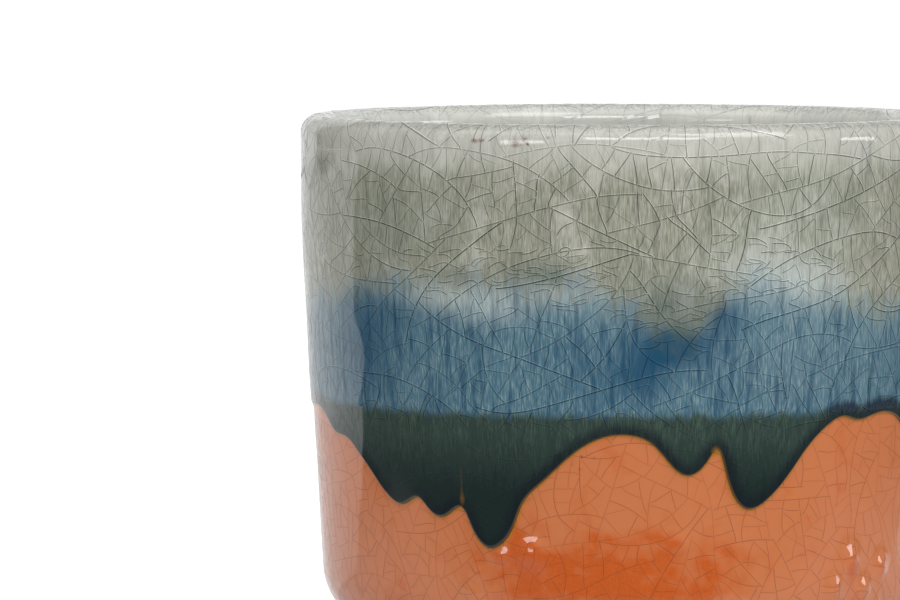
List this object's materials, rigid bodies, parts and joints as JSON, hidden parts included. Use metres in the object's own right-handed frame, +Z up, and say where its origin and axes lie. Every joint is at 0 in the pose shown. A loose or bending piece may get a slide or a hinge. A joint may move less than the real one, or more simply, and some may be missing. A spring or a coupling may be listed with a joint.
{
  "type": "cachepot",
  "caption": "Round glazed stoneware cachepot with a thick rolled lip, a slight taper, overlapping glaze coats that end in runs, and felt pads under its foot.",
  "frame": {"origin": "on the pot's axis, at the surface that the felt pads stand on", "axes": "+Z up along the pot's axis, -Y towards the side that the picture shows, +X to its right"},
  "size_m": [0.15, 0.15, 0.1224],
  "materials": {
    "stoneware": "bare fired stoneware, matt buff",
    "pale_crackle_glaze": "glossy pale grey glaze with a wide craze network",
    "orange_craze_glaze": "glossy orange glaze with a fine red-brown craze network",
    "dark_green_glaze": "glossy green-black glaze that ran in drips",
    "pale_blue_glaze": "glossy grey-green glaze that turns streaky blue over the dark coat",
    "felt": "matt brown felt"
  },
  "bodies": {
    "root": {"stoneware_body": "stoneware", "lining_glaze": "pale_crackle_glaze", "underside_glaze": "pale_crackle_glaze", "orange_base_glaze": "orange_craze_glaze", "dark_run_glaze": "dark_green_glaze", "pale_rim_glaze": "pale_blue_glaze", "felt_pad_1": "felt", "felt_pad_2": "felt", "felt_pad_3": "felt", "felt_pad_4": "felt"}
  },
  "joints": []
}
